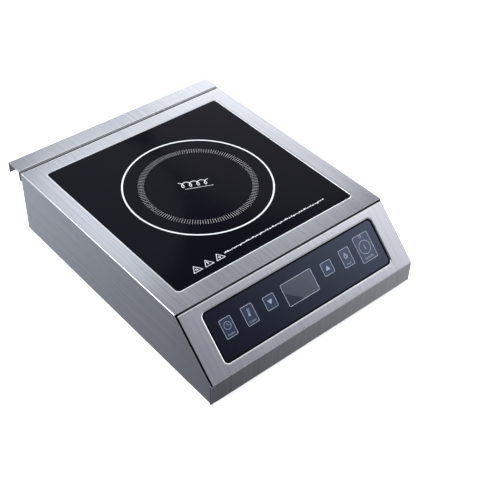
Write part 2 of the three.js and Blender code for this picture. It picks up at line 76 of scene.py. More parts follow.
PRESS = next(joint for joint in frame["joints"] if joint["name"] == "key_on_off_press")
OUT = -Vector(PRESS["axis"]).normalized()           # out of the sloping panel
DOWN = Vector((0, -OUT.z, OUT.y))                   # down the sloping panel
PANEL_REACH = max(v.co.dot(OUT) for v in frame["nodes"]["front_panel"].data.vertices)
SEAM = Vector((0, (PANEL_REACH - OUT.z * TOP) / OUT.y, TOP))
SLOPE_RISE = OUT.y / -OUT.z                         # rise per metre towards the rear


def on_slope(x, down, out=0.0):
    """The point at these distances across, down and out of the sloping panel's face."""
    return SEAM + Vector((x, 0, 0)) + DOWN * down + OUT * out


def slope_box(node):
    """Lowest and highest (across, down, out) of a CAD node in the sloping panel's axes."""
    points = [v.co - SEAM for v in frame["nodes"][node].data.vertices]
    measures = [(p.x, p.dot(DOWN), p.dot(OUT)) for p in points]
    return [min(m[i] for m in measures) for i in range(3)], [max(m[i] for m in measures) for i in range(3)]


# ---------------- shapes

def turn_between(into, out):
    return math.atan2(into.x * out.y - into.y * out.x, into.dot(out))


def rounded(corners, inset=0.0, steps=6):
    """Points of a closed outline of corners (x, y, radius), moved by inset towards its left side."""
    points = []
    for index, (x, y, radius) in enumerate(corners):
        here = Vector((x, y))
        before = Vector(corners[index - 1][:2])
        after = Vector(corners[(index + 1) % len(corners)][:2])
        into = (here - before).normalized()
        out = (after - here).normalized()
        left_in = Vector((-into.y, into.x))
        left_out = Vector((-out.y, out.x))
        turn = turn_between(into, out)
        moved = here + (left_in + left_out) * (inset / (1 + into.dot(out)))
        if radius <= 0:
            points.append(moved)
            continue
        side = math.copysign(1, turn)
        radius = max(radius - side * inset, HAIR)
        reach = radius * math.tan(abs(turn) / 2)
        centre = moved - into * reach + left_in * side * radius
        for step in range(steps + 1):
            arm = left_in * (-side * radius)
            arm.rotate(Matrix.Rotation(turn * step / steps, 2))
            points.append(centre + arm)
    return points


def rectangle(x0, x1, y0, y1, radius):
    return [(x0, y0, radius), (x1, y0, radius), (x1, y1, radius), (x0, y1, radius)]


def circle(x, y, radius):
    return rectangle(x - radius, x + radius, y - radius, y + radius, radius)


def hole(corners):
    """The same outline, run the other way round."""
    return list(reversed(corners))


def stroke(points, width, round_ends=True):
    """The outline of a line of this width through the points."""
    half = width / 2
    left, right = [], []
    for index, point in enumerate(points):
        here = Vector(point)
        before = Vector(points[max(index - 1, 0)])
        after = Vector(points[min(index + 1, len(points) - 1)])
        into = (here - before).normalized() if index > 0 else (after - here).normalized()
        out = (after - here).normalized() if index < len(points) - 1 else into
        sideways = Vector((-into.y - out.y, into.x + out.x)).normalized()
        reach = half / max(0.5, sideways.dot(Vector((-into.y, into.x))))
        is_end = index in (0, len(points) - 1)
        radius = half * 0.9 if is_end and round_ends else 0
        left.append((*(here + sideways * reach), radius))
        right.append((*(here - sideways * reach), radius))
    return right + left[::-1]


class Fold:
    """A sheet's outer face seen on edge, as straights joined by arcs. side +1 has the outside on its left."""

    def __init__(self, corners, side, arc_steps=8):
        self.side = side
        self.parts = []
        self.creases = []
        along = 0.0
        start = Vector(corners[0][:2])
        for index in range(1, len(corners)):
            here = Vector(corners[index][:2])
            heading = (here - Vector(corners[index - 1][:2])).normalized()
            reach, turn, radius = 0.0, 0.0, 0.0
            if index < len(corners) - 1:
                after = (Vector(corners[index + 1][:2]) - here).normalized()
                turn = turn_between(heading, after)
                radius = corners[index][2]
                reach = radius * math.tan(abs(turn) / 2)
            end = here - heading * reach
            length = (end - start).dot(heading)
            self.parts.append((along, length, start, heading, 0.0))
            along += length
            start = end
            if radius > 0:
                arc = radius * abs(turn)
                self.parts.append((along, arc, start, heading, turn / arc))
                self.creases += [along + arc * step / arc_steps for step in range(arc_steps + 1)]
                along += arc
                start = here + after * reach
        self.length = along

    def at(self, distance):
        """Point and outward direction at this distance along the face."""
        part = self.parts[0]
        for candidate in self.parts:
            if distance >= candidate[0] - 1e-9:
                part = candidate
        begin, _, start, heading, curve = part
        along = distance - begin
        if curve == 0:
            point, direction = start + heading * along, heading
        else:
            angle = curve * along
            left = Vector((-heading.y, heading.x))
            point = start + heading * (math.sin(angle) / curve) + left * ((1 - math.cos(angle)) / curve)
            direction = heading.copy()
            direction.rotate(Matrix.Rotation(angle, 2))
        return point, Vector((-direction.y, direction.x)) * self.side

    def straight(self, number):
        """Where the numbered straight starts, its first point and its heading."""
        return [part for part in self.parts if part[4] == 0][number]

    def measure(self, number, point):
        """Distance along the face of a point on the numbered straight."""
        begin, _, start, heading, _ = self.straight(number)
        return begin + (Vector(point) - start).dot(heading)


def level(z):
    """Places a flat outline with its upper face at height z."""
    return lambda x, y, depth: Vector((x, y, z - depth))


def on_panel(out):
    """Places a flat outline (across, minus down) with its upper face this far out of the sloping panel."""
    return lambda x, y, depth: on_slope(x, -y, out - depth)


def edge_rings(thickness, top, bottom, crown=0.0):
    """(inset, depth) of the rings that round a plate's upper and lower edges, from its top to its underside.

    The upper edge's rounding is a radius, or a (width, depth) pair."""
    width, depth = top if isinstance(top, tuple) else (top, top)
    rings = []
    if crown > 0:
        reach = 8 * width
        rings += [(width + reach * (1 - k / 4), crown * (k / 4) ** 2) for k in range(4)]
    steps = 6 if width > 0.5 * MM else 3
    for step in range(steps + 1):
        angle = math.pi / 2 * step / steps
        rings.append((width * (1 - math.sin(angle)), crown + depth * (1 - math.cos(angle))))
    for step in range(3):
        angle = math.pi / 2 * step / 2
        rings.append((bottom * (1 - math.cos(angle)), thickness - bottom * (1 - math.sin(angle))))
    return rings


def fill(mesh, rings):
    """Closes one flat side of a plate, whose first ring is its outline and the others its holes.

    The plate is in millimetres meanwhile: the fill is unsound between points that are very close."""
    for vertex in mesh.verts:
        vertex.co /= MM
    edges = [mesh.edges.get((ring[index - 1], ring[index])) for ring in rings for index in range(len(ring))]
    bmesh.ops.triangle_fill(mesh, edges=edges, use_beauty=True)
    for vertex in mesh.verts:
        vertex.co *= MM


def add_slab(mesh, loops, thickness, place, creases=((), ()), edge=0.1 * MM, bottom=0.05 * MM, crown=0.0,
             steps=6, turned_grain=False):
    """Adds a plate to mesh: outline and holes with rounded edges, cut along its creases and put in place.

    A loop is a list of corners, or a pair of that list and its own edge rounding. Creases are the distances
    of straight lines across and along the plate. Where two corners' arcs meet, one point is made."""
    piece = bmesh.new()
    uv = piece.loops.layers.uv.new("flat")
    tops, undersides = [], []
    for loop in loops:
        corners, radius = loop if isinstance(loop, tuple) else (loop, edge)
        outline = rounded(corners, 0.0, steps)
        kept = [i for i, point in enumerate(outline) if (point - outline[i - 1]).length > HAIR / 10]
        rings = []
        for inset, depth in edge_rings(thickness, radius, bottom, crown):
            points = rounded(corners, inset, steps)
            rings.append([piece.verts.new((*points[i], -depth)) for i in kept])
        for upper, lower in zip(rings, rings[1:]):
            for i in range(len(upper)):
                j = (i + 1) % len(upper)
                piece.faces.new((upper[i], lower[i], lower[j], upper[j]))
        tops.append(rings[0])
        undersides.append(rings[-1])
    fill(piece, tops)
    fill(piece, undersides)
    for axis, places in zip((Vector((1, 0, 0)), Vector((0, 1, 0))), creases):
        for distance in places:
            everything = piece.verts[:] + piece.edges[:] + piece.faces[:]
            bmesh.ops.bisect_plane(piece, geom=everything, dist=1e-8, plane_co=axis * distance, plane_no=axis)
    for face in piece.faces:
        for corner in face.loops:
            x, y, _ = corner.vert.co
            corner[uv].uv = (y, x) if turned_grain else (x, y)
    for vertex in piece.verts:
        x, y, z = vertex.co
        vertex.co = place(x, y, -z)
    join_into(mesh, piece)


def join_into(mesh, piece):
    bmesh.ops.recalc_face_normals(piece, faces=piece.faces[:])
    holder = bpy.data.meshes.new("holder")
    piece.to_mesh(holder)
    piece.free()
    mesh.from_mesh(holder)
    bpy.data.meshes.remove(holder)


def add_turned(mesh, profile, matrix):
    """Adds a hollow solid of revolution to mesh. profile is a closed loop of (radius, height, rounding)."""
    piece = bmesh.new()
    segments = 64
    angles = [2 * math.pi * k / segments for k in range(segments)]
    rings = []
    for radius, height in rounded(profile, steps=4):
        rings.append([piece.verts.new((radius * math.cos(a), radius * math.sin(a), height)) for a in angles])
    for index, ring in enumerate(rings):
        after = rings[(index + 1) % len(rings)]
        for i in range(segments):
            j = (i + 1) % segments
            piece.faces.new((ring[i], after[i], after[j], ring[j]))
    piece.transform(matrix)
    join_into(mesh, piece)


def add_object(name, data):
    made = bpy.data.objects.new(name, data)
    bpy.context.scene.collection.objects.link(made)
    return made


def make_piece(name, mesh, material, body=BODY, slot=None, replaces=()):
    """Turns the finished mesh into a piece that rides on a body."""
    data = bpy.data.meshes.new(name)
    mesh.to_mesh(data)
    mesh.free()
    data.materials.append(material)
    data.shade_smooth()
    piece = add_object(name, data)
    normals = piece.modifiers.new("normals", "WEIGHTED_NORMAL")
    normals.weight = 100
    normals.keep_sharp = True
    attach(piece, body)
    if replaces:
        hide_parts(*replaces)
    return piece


def plate_piece(name, loops, thickness, place, material, **more):
    """A piece made of one slab. Extra words go to add_slab or make_piece."""
    own = {key: more.pop(key) for key in ("body", "slot", "replaces") if key in more}
    mesh = bmesh.new()
    add_slab(mesh, loops, thickness, place, **more)
    return make_piece(name, mesh, material, **own)


# ---------------- materials

def start_material(name, color, roughness, metallic=0.0, **sockets):
    """A Principled material. Extra words set the shader's sockets, with _ for a space."""
    material = bpy.data.materials.new(name)
    material.use_nodes = True
    shader = material.node_tree.nodes["Principled BSDF"]
    shader.inputs["Base Color"].default_value = (*color, 1)
    shader.inputs["Roughness"].default_value = roughness
    shader.inputs["Metallic"].default_value = metallic
    for socket, value in sockets.items():
        shader.inputs[socket.replace("_", " ")].default_value = value
    return material, material.node_tree, shader


def add_node(tree, kind, **settings):
    made = tree.nodes.new(kind)
    for key, value in settings.items():
        if hasattr(made, key):
            setattr(made, key, value)
        else:
            made.inputs[key.replace("_", " ")].default_value = value
    return made


def calculate(tree, kind, operation, *inputs):
    """The outputs of a math node. An input is another node's output, a number or a vector."""
    made = add_node(tree, kind, operation=operation)
    for socket, value in zip(made.inputs, inputs):
        if isinstance(value, bpy.types.NodeSocket):
            tree.links.new(value, socket)
        else:
            socket.default_value = value
    return made.outputs


def coordinates(tree, stretch, flat=False):
    """Object coordinates, or the sheet's own flat ones, stretched by (x, y, z) or one number for all."""
    mapping = add_node(tree, "ShaderNodeMapping")
    mapping.inputs["Scale"].default_value = stretch if isinstance(stretch, tuple) else (stretch,) * 3
    if flat:
        source = add_node(tree, "ShaderNodeUVMap", uv_map="flat").outputs["UV"]
    else:
        source = add_node(tree, "ShaderNodeTexCoord").outputs["Object"]
    tree.links.new(source, mapping.inputs["Vector"])
    return mapping.outputs["Vector"]


def noise(tree, stretch, detail=3.0, roughness=0.55, flat=False):
    made = add_node(tree, "ShaderNodeTexNoise", Scale=1.0, Detail=detail, Roughness=roughness)
    tree.links.new(coordinates(tree, stretch, flat), made.inputs["Vector"])
    return made.outputs["Fac"]


def spread(tree, value, low, high, from_low=0.3, from_high=0.7):
    """Maps a noise value to the range low to high."""
    made = add_node(tree, "ShaderNodeMapRange")
    made.inputs["From Min"].default_value = from_low
    made.inputs["From Max"].default_value = from_high
    made.inputs["To Min"].default_value = low
    made.inputs["To Max"].default_value = high
    tree.links.new(value, made.inputs["Value"])
    return made.outputs["Result"]


def scaled(color, factor):
    """The colour times the factor, opaque."""
    return (*(min(1.0, channel * factor) for channel in color), 1)


def vary_color(tree, shader, pattern, color, low, high):
    """Varies the base colour from low to high times this colour, as the pattern goes from 0 to 1."""
    made = add_node(tree, "ShaderNodeMix", data_type="RGBA")
    made.inputs[6].default_value = scaled(color, low)
    made.inputs[7].default_value = scaled(color, high)
    tree.links.new(pattern, made.inputs[0])
    tree.links.new(made.outputs[2], shader.inputs["Base Color"])


def vary_roughness(tree, shader, pattern, low, high):
    tree.links.new(spread(tree, pattern, low, high), shader.inputs["Roughness"])


def add_bump(tree, shader, height, strength, distance):
    made = add_node(tree, "ShaderNodeBump", Strength=strength, Distance=distance)
    tree.links.new(height, made.inputs["Height"])
    tree.links.new(made.outputs["Normal"], shader.inputs["Normal"])


def brushed_steel(name):
    """Satin stainless steel, brushed along the second of its flat coordinates."""
    color = (0.595, 0.60, 0.617)
    material, tree, shader = start_material(name, color, 0.28, 1.0, Anisotropic=0.65)
    fine = noise(tree, (1300, 12, 1), 2.0, 0.6, flat=True)
    broad = spread(tree, noise(tree, (460, 5, 1), 2.0, flat=True), 0.0, 0.45)
    cloud = noise(tree, (9, 5, 1), 2.0, flat=True)
    grain = calculate(tree, "ShaderNodeMath", "MULTIPLY_ADD", fine, 0.55, broad)[0]
    vary_color(tree, shader, grain, color, 0.80, 1.18)
    vary_roughness(tree, shader, cloud, 0.26, 0.30)
    add_bump(tree, shader, grain, 0.12, 0.02 * MM)
    tangent = add_node(tree, "ShaderNodeTangent", direction_type="UV_MAP", uv_map="flat")
    tree.links.new(tangent.outputs["Tangent"], shader.inputs["Tangent"])
    return material


def plain_metal(name, color, roughness, grain=60):
    """Plated or cast metal, slightly cloudy."""
    material, tree, shader = start_material(name, color, roughness, 1.0)
    cloud = noise(tree, grain, 4.0)
    vary_color(tree, shader, cloud, color, 0.88, 1.12)
    vary_roughness(tree, shader, cloud, roughness - 0.07, roughness + 0.07)
    add_bump(tree, shader, noise(tree, 900, 2.0), 0.1, 0.02 * MM)
    return material


def moulded(name, color, roughness, grain=1400, bump=0.25, contrast=0.12, **sockets):
    """Moulded plastic or rubber with a fine grain."""
    material, tree, shader = start_material(name, color, roughness, **sockets)
    fine = noise(tree, grain, 2.0)
    vary_color(tree, shader, noise(tree, 40), color, 1 - contrast, 1 + contrast)
    vary_roughness(tree, shader, fine, roughness - 0.05, roughness + 0.05)
    add_bump(tree, shader, fine, bump, 0.03 * MM)
    return material


def black_glass(name):
    """Polished glass ceramic with a few faint wipe marks in its gloss."""
    color = (0.0045, 0.0042, 0.0078)
    material, tree, shader = start_material(name, color, 0.1, IOR=1.14)
    specks = spread(tree, noise(tree, 700, 1.0), 0, 1)
    vary_color(tree, shader, specks, color, 0.9, 1.15)
    vary_roughness(tree, shader, noise(tree, (22, 60, 20), 5.0, 0.6), 0.08, 0.14)
    return material


def circuit_board(name):
    """Green solder mask with a faint pattern of copper tracks under it."""
    color = (0.012, 0.085, 0.03)
    material, tree, shader = start_material(name, color, 0.4, IOR=1.5)
    tracks = add_node(tree, "ShaderNodeTexBrick", Scale=1.0)
    tree.links.new(coordinates(tree, 160), tracks.inputs["Vector"])
    tracks.inputs["Color1"].default_value = scaled(color, 1)
    tracks.inputs["Color2"].default_value = scaled(color, 1.3)
    tracks.inputs["Mortar"].default_value = scaled(color, 2.4)
    tracks.inputs["Mortar Size"].default_value = 0.06
    tree.links.new(tracks.outputs["Color"], shader.inputs["Base Color"])
    add_bump(tree, shader, tracks.outputs["Fac"], 0.2, 0.03 * MM)
    return material


def copper_winding(name):
    """Enamelled copper wire, wound close."""
    color = (0.48, 0.16, 0.06)
    material, tree, shader = start_material(name, color, 0.35, 1.0)
    wire = noise(tree, 900)
    vary_color(tree, shader, wire, color, 0.6, 1.35)
    add_bump(tree, shader, wire, 0.5, 0.2 * MM)
    return material


def ink(name, color, roughness=0.45, **sockets):
    """Printed ink, a little uneven."""
    return moulded(name, color, roughness, grain=2500, bump=0.08, contrast=0.05, **sockets)


STEEL = brushed_steel("satin_steel")
GLASS = black_glass("glass_ceramic")
SILICONE = moulded("black_silicone", (0.006, 0.006, 0.007), 0.7, IOR=1.4)
FILM = moulded("overlay_film", (0.0008, 0.0009, 0.002), 0.16, grain=1800, bump=0.1, IOR=1.85,
               Specular_Tint=(0.62, 0.70, 1.0, 1))
# Painted shade: the carrier is dull black and nearly without reflection, so the band of it that shows round the
# film stands in for the shade in the recess under the window's edge.
CARRIER = moulded("overlay_border_painted_shade", (0.0015, 0.0015, 0.002), 0.6, grain=1800, bump=0.1, IOR=1.15)
KEY_FILM = moulded("key_film", (0.036, 0.05, 0.092), 0.17, grain=1800, bump=0.1, IOR=1.8,
                   Specular_Tint=(0.76, 0.83, 1.0, 1))
LENS = moulded("smoked_lens", (0.035, 0.038, 0.05), 0.2, grain=900, bump=0.02, IOR=2.2,
               Specular_Tint=(0.82, 0.87, 1.0, 1))
PLASTIC = moulded("black_plastic", (0.012, 0.012, 0.013), 0.5, grain=1200)
RUBBER = moulded("foot_rubber", (0.010, 0.010, 0.010), 0.8, grain=900, bump=0.4)
ZINC = plain_metal("zinc_steel", (0.52, 0.53, 0.52), 0.42)
SPRING = plain_metal("spring_steel", (0.62, 0.62, 0.64), 0.25)
ALUMINIUM = plain_metal("aluminium", (0.7, 0.71, 0.72), 0.35, grain=(400, 12, 12))
BOARD = circuit_board("circuit_board")
COPPER = copper_winding("copper_winding")
FERRITE = moulded("ferrite", (0.035, 0.036, 0.040), 0.6, grain=1600, bump=0.4)
MICA = moulded("mica", (0.66, 0.60, 0.48), 0.6, grain=300, bump=0.3, contrast=0.2)
CAPACITOR = moulded("capacitor_film", (0.60, 0.36, 0.03), 0.35, grain=900)
WHITE_INK = ink("white_ink", (0.93, 0.93, 0.95))
KEY_INK = ink("key_ink", (0.44, 0.50, 0.62), 0.25, IOR=2.3)
OUTLINE_INK = ink("outline_ink", (0.60, 0.67, 0.80), 0.25, IOR=2.5)

SLOT_MATERIALS = {
    "brushed_steel": STEEL, "zinc_steel": ZINC, "spring_steel": SPRING, "black_glass": GLASS,
    "black_silicone": SILICONE, "overlay_film": FILM, "key_film": KEY_FILM, "smoked_acrylic": LENS,
    "black_plastic": PLASTIC, "foot_rubber": RUBBER, "circuit_board": BOARD, "aluminium": ALUMINIUM,
    "copper": COPPER, "ferrite": FERRITE, "mica": MICA, "capacitor_film": CAPACITOR,
}

# ---------------- steel casing

TAB_HALF = HALF - 6 * MM       # half width of the cover's turned-down front and rear edges
SEAM_GAP = 0.45 * MM           # the cover starts this far behind the seam
GLASS_JOINT = 1.1 * MM         # the joint around the glass
EDGE_ROLL = (2 * MM, 0.85 * MM)  # width and depth of the rolled edges around the glass and the keypad
SIDE_SETBACK = 2.2 * MM        # the sides stop this far under the sloping face
SIDE_FRONT = FRONT + 2.8 * MM  # where the front panel's wrapped corners meet the sides


def side_height(y):
    """Height of the cover's sloping side edge."""
    start = SEAM - OUT * SIDE_SETBACK
    return start.z + (y - start.y) * SLOPE_RISE


def make_cover():
    cover_front = SEAM.y + SEAM_GAP
    top_roll, low_roll = 1.6 * MM, 2.6 * MM
    across = Fold([(-HALF + LIP, FLOOR, 0), (-HALF, FLOOR, low_roll), (-HALF, TOP, top_roll),
                   (HALF, TOP, top_roll), (HALF, FLOOR, low_roll), (HALF - LIP, FLOOR, 0)], 1)
    tab = 8 * MM
    rear_roll = 2 * MM
    along = Fold([(cover_front, TOP, 0), (COVER_REAR, TOP, rear_roll), (COVER_REAR, TOP - tab, 0)], 1)
    shift = along.measure(0, (0, TOP))
    tab_rear = along.length - shift
    middle = across.length / 2

    def place(s, t, depth):
        if abs(s - middle) < TAB_HALF + 0.1 * MM:
            (y, z), (out_y, out_z) = along.at(t + shift)
            return Vector((s - middle, y - out_y * depth, z - out_z * depth))
        (x, z), (out_x, out_z) = across.at(s)
        return Vector((x - out_x * depth, t, z - out_z * depth))

    low_front = middle - across.measure(1, (-HALF, side_height(SIDE_FRONT)))
    high_front = middle - across.measure(1, (-HALF, side_height(cover_front)))
    notch = TAB_HALF + 0.6 * MM
    rear_bend = COVER_REAR - rear_roll
    small = 0.3 * MM
    half = [(high_front, cover_front, 1 * MM), (low_front, SIDE_FRONT, small), (middle, SIDE_FRONT, small),
            (middle, COVER_REAR, small), (notch, COVER_REAR, small), (notch, rear_bend, small),
            (TAB_HALF, rear_bend, small), (TAB_HALF, tab_rear, small)]
    outline = [(middle + s, t, radius) for s, t, radius in half]
    outline += [(middle - s, t, radius) for s, t, radius in half[::-1]]
    opening = hole(rectangle(middle + GLASS_LOW.x - GLASS_JOINT, middle + GLASS_HIGH.x + GLASS_JOINT,
                             GLASS_LOW.y - GLASS_JOINT, GLASS_HIGH.y + GLASS_JOINT, 5 * MM))
    creases = (across.creases, [value - shift for value in along.creases])
    mesh = bmesh.new()
    add_slab(mesh, [outline, (opening, EDGE_ROLL)], SHEET, place, creases=creases, edge=0.12 * MM)

    def stand(x, z, depth):
        return Vector((x, cover_front + 0.1 * MM + depth, z))

    stiffener = rectangle(-TAB_HALF, TAB_HALF, TOP - tab, TOP - SHEET, small)
    add_slab(mesh, [stiffener], SHEET, stand)
    return make_piece("outer_cover_sheet", mesh, STEEL, slot="brushed_steel", replaces=["outer_cover"])


def window_box():
    """The panel's opening over the keypad, from the overlay that lies under its edge."""
    (x0, down0, _), (x1, down1, _) = slope_box("keypad_overlay")
    margin = 2.4 * MM
    return x0 + margin, x1 - margin, down0 + margin, down1 - margin


def make_front_panel():
    bend_bottom = 1.5 * MM
    wrap_radius = 2.3 * MM
    slope_half = HALF - 2.7 * MM
    top_y = PANEL_HIGH.y
    top_z = TOP + (top_y - SEAM.y) * SLOPE_RISE
    fold_z = SEAM.z + (FRONT - SEAM.y) * SLOPE_RISE
    down = Fold([(top_y, TOP - 8 * MM, 0), (top_y, top_z, 1.4 * MM), (FRONT, fold_z, 2.6 * MM),
                 (FRONT, FLOOR, bend_bottom), (FRONT + 12 * MM, FLOOR, 0)], -1)
    around = Fold([(-HALF, SIDE_FRONT, 0), (-HALF, FRONT, wrap_radius), (HALF, FRONT, wrap_radius),
                   (HALF, SIDE_FRONT, 0)], -1)
    half_around = around.length / 2
    wrap_from = HALF - wrap_radius - 0.4 * MM
    split = down.straight(2)[0]
    split_height = down.straight(2)[2].y

    def drop(z):
        """Distance down the sheet of a height on the lower face, carried on straight past its bends."""
        return split + split_height - z

    def place(s, t, depth):
        is_slope = s < split and abs(t) <= slope_half + 0.01 * MM
        if is_slope or abs(t) <= wrap_from:
            (y, z), (out_y, out_z) = down.at(s)
            return Vector((t, y - out_y * depth, z - out_z * depth))
        (x, y), (out_x, out_y) = around.at(t + half_around)
        return Vector((x - out_x * depth, y - out_y * depth, split + split_height - s))

    slit = split - 0.08 * MM
    small = 0.25 * MM
    half = [
        (0, slope_half, small), (slit, slope_half, 0.6 * MM), (slit, wrap_from, HAIR),
        (drop(side_height(FRONT)), wrap_from + 0.4 * MM, HAIR),
        (drop(side_height(SIDE_FRONT)), half_around, small),
        (drop(FLOOR + 0.2 * MM), half_around, small),
        (drop(FLOOR + 0.2 * MM), wrap_from, small),
        (drop(FLOOR + bend_bottom), wrap_from - 1 * MM, small),
        (down.length, HALF - LIP - 1 * MM, small),
    ]
    outline = half[::-1] + [(s, -t, radius) for s, t, radius in half]
    x0, x1, down0, down1 = window_box()
    start = down.measure(1, (SEAM.y, SEAM.z))
    window = rectangle(start + down0, start + down1, x0, x1, 6 * MM)
    creases = (down.creases, [value - half_around for value in around.creases])
    loops = [outline, (hole(window), EDGE_ROLL)]
    return plate_piece("front_panel_sheet", loops, SHEET, place, STEEL, creases=creases,
                       edge=0.15 * MM, steps=8, turned_grain=True, slot="brushed_steel",
                       replaces=["front_panel"])


def make_rear_guard():
    """A folded rail with a narrow trough behind its front leaf, with dull black strips of painted shade in the gap
    before the leaf and in the trough.
    """
    leaf_back = GUARD_LOW.y + SHEET
    wall = leaf_back + 1.6 * MM
    trough = GUARD_LOW.z + 1.5 * MM + SHEET
    section = Fold([(leaf_back, TOP - 0.3 * MM, 0), (leaf_back, trough, 0.4 * MM), (wall, trough, 0.4 * MM),
                    (wall, TOP, 1.1 * MM), (REAR, TOP, 2 * MM), (REAR, GUARD_LOW.z, 0)], 1)

    def place(s, t, depth):
        (y, z), (out_y, out_z) = section.at(s)
        return Vector((t, y - out_y * depth, z - out_z * depth))

    # Painted shade: two dull black silicone strips sit in the gap between cover and guard and in the guard's
    # trough, dark stand-ins for the shade down these narrow gaps.
    shade_strips = [("guard_joint_shade_strip", COVER_REAR, GUARD_LOW.y), ("guard_trough_shade_strip", leaf_back, wall)]
    for name, y0, y1 in shade_strips:
        strip = rectangle(-HALF + 1.5 * MM, HALF - 1.5 * MM, y0 + HAIR, y1 - HAIR, 0.2 * MM)
        plate_piece(name, [strip], 1.4 * MM, level(TOP - 0.8 * MM), SILICONE)
    outline = rectangle(0, section.length, -HALF, HALF, 0.4 * MM)
    return plate_piece("rear_guard_sheet", [outline], SHEET, place, STEEL, creases=(section.creases, ()),
                       edge=0.15 * MM, turned_grain=True, slot="brushed_steel", replaces=["rear_guard"])


def make_rear_panel():
    low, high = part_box("rear_panel")
    gland_low, gland_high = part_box("gland_nut")
    gland = (gland_low + gland_high) / 2

    def place(x, z, depth):
        return Vector((x, high.y - depth, z))

    slot_width, slot_height, slot_edge = 62 * MM, 4 * MM, 0.2 * MM
    slots = []
    for row in range(7):
        for column in range(3):
            x = (-145 + 70 * column) * MM
            z = (30 + 8 * row) * MM
            slot = rectangle(x, x + slot_width, z, z + slot_height, slot_height / 2 - 0.05 * MM)
            slots.append((hole(slot), slot_edge))
    cord_hole = (hole(circle(gland.x, gland.z, 8.9 * MM)), 0.1 * MM)
    outline = rectangle(low.x, high.x, low.z, high.z, 1 * MM)
    return plate_piece("rear_panel_sheet", [outline, *slots, cord_hole], SHEET, place, STEEL, edge=0.12 * MM,
                       slot="brushed_steel", replaces=["rear_panel"])


# ---------------- glass top and its printing

GLASS_CENTRE = (GLASS_LOW + GLASS_HIGH) / 2
INK_HEIGHT = 0.04 * MM
INK_THICK = 0.06 * MM


def make_glass():
    outline = rectangle(GLASS_LOW.x, GLASS_HIGH.x, GLASS_LOW.y, GLASS_HIGH.y, 4.5 * MM)
    thickness = GLASS_HIGH.z - GLASS_LOW.z
    return plate_piece("glass_top", [outline], thickness, level(GLASS_HIGH.z), GLASS, edge=0.7 * MM,
                       bottom=0.3 * MM, steps=10, slot="black_glass", replaces=["glass_plate"])


def make_seal():
    low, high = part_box("glass_seal")
    gap = 0.1 * MM
    soft_edge = 0.3 * MM
    bed_top = GLASS_LOW.z - 0.3 * MM
    bed_hole_half = 133 * MM
    mesh = bmesh.new()
    x, y = GLASS_CENTRE.x, GLASS_CENTRE.y

    def square(half, radius):
        return rectangle(x - half, x + half, y - half, y + half, radius)

    rib = [square(GLASS_HIGH.x + GLASS_JOINT - gap, 4.8 * MM), hole(square(GLASS_HIGH.x + gap, 4.6 * MM))]
    add_slab(mesh, rib, high.z - bed_top, level(high.z), edge=soft_edge)
    bed = [square(high.x, 8 * MM), hole(square(bed_hole_half, 7 * MM))]
    add_slab(mesh, bed, bed_top - low.z, level(bed_top), edge=soft_edge)
    return make_piece("glass_silicone", mesh, SILICONE, slot="black_silicone", replaces=["glass_seal"])


def print_piece(name, groups, place, material, body=BODY, steps=6):
    """Thin printed marks. A group is an outline with its holes."""
    mesh = bmesh.new()
    for group in groups:
        add_slab(mesh, group, INK_THICK, place, edge=0.02 * MM, bottom=0.01 * MM, steps=steps)
    return make_piece(name, mesh, material, body=body)


def make_glass_printing():
    x, y = GLASS_CENTRE.x, GLASS_CENTRE.y
    surface = level(TOP + INK_HEIGHT)
    ring = [circle(x, y, 98.6 * MM), hole(circle(x, y, 96.4 * MM))]
    print_piece("printed_ring", [ring], surface, WHITE_INK, steps=32)

    ticks = []
    tick_count = 144
    inner, outer, width = 69.6 * MM, 77.8 * MM, 0.25 * MM
    for index in range(tick_count):
        angle = 2 * math.pi * (index + 0.5) / tick_count
        ray = Vector((math.cos(angle), math.sin(angle)))
        ends = [Vector((x, y)) + ray * inner, Vector((x, y)) + ray * outer]
        ticks.append([stroke(ends, width, round_ends=False)])
    print_piece("printed_ticks", ticks, surface, WHITE_INK)
    make_centre_mark(surface)
    make_caution_marks(surface)


def make_centre_mark(surface):
    """A plain squiggle like a coil of wire, in place of any name."""
    start = Vector((-21 * MM, 33 * MM))
    heading = Vector((41, -18)).normalized()
    up = Vector((-heading.y, heading.x))
    loops, steps_per_loop, length = 4, 16, 40 * MM
    points = []
    for index in range(loops * steps_per_loop + 1):
        turns = index / steps_per_loop
        phase = 2 * math.pi * turns
        along = turns / loops * length + 3.6 * MM * math.sin(phase)
        rise = 5.2 * MM * math.cos(phase)
        points.append(start + heading * along + up * rise)
    groups = [[stroke([a, b], 1.1 * MM)] for a, b in zip(points, points[1:])]
    below = start - up * 9 * MM
    groups.append([stroke([below + heading * 6 * MM, below + heading * 44 * MM], 0.6 * MM)])
    return print_piece("printed_centre_mark", groups, surface, WHITE_INK, steps=2)


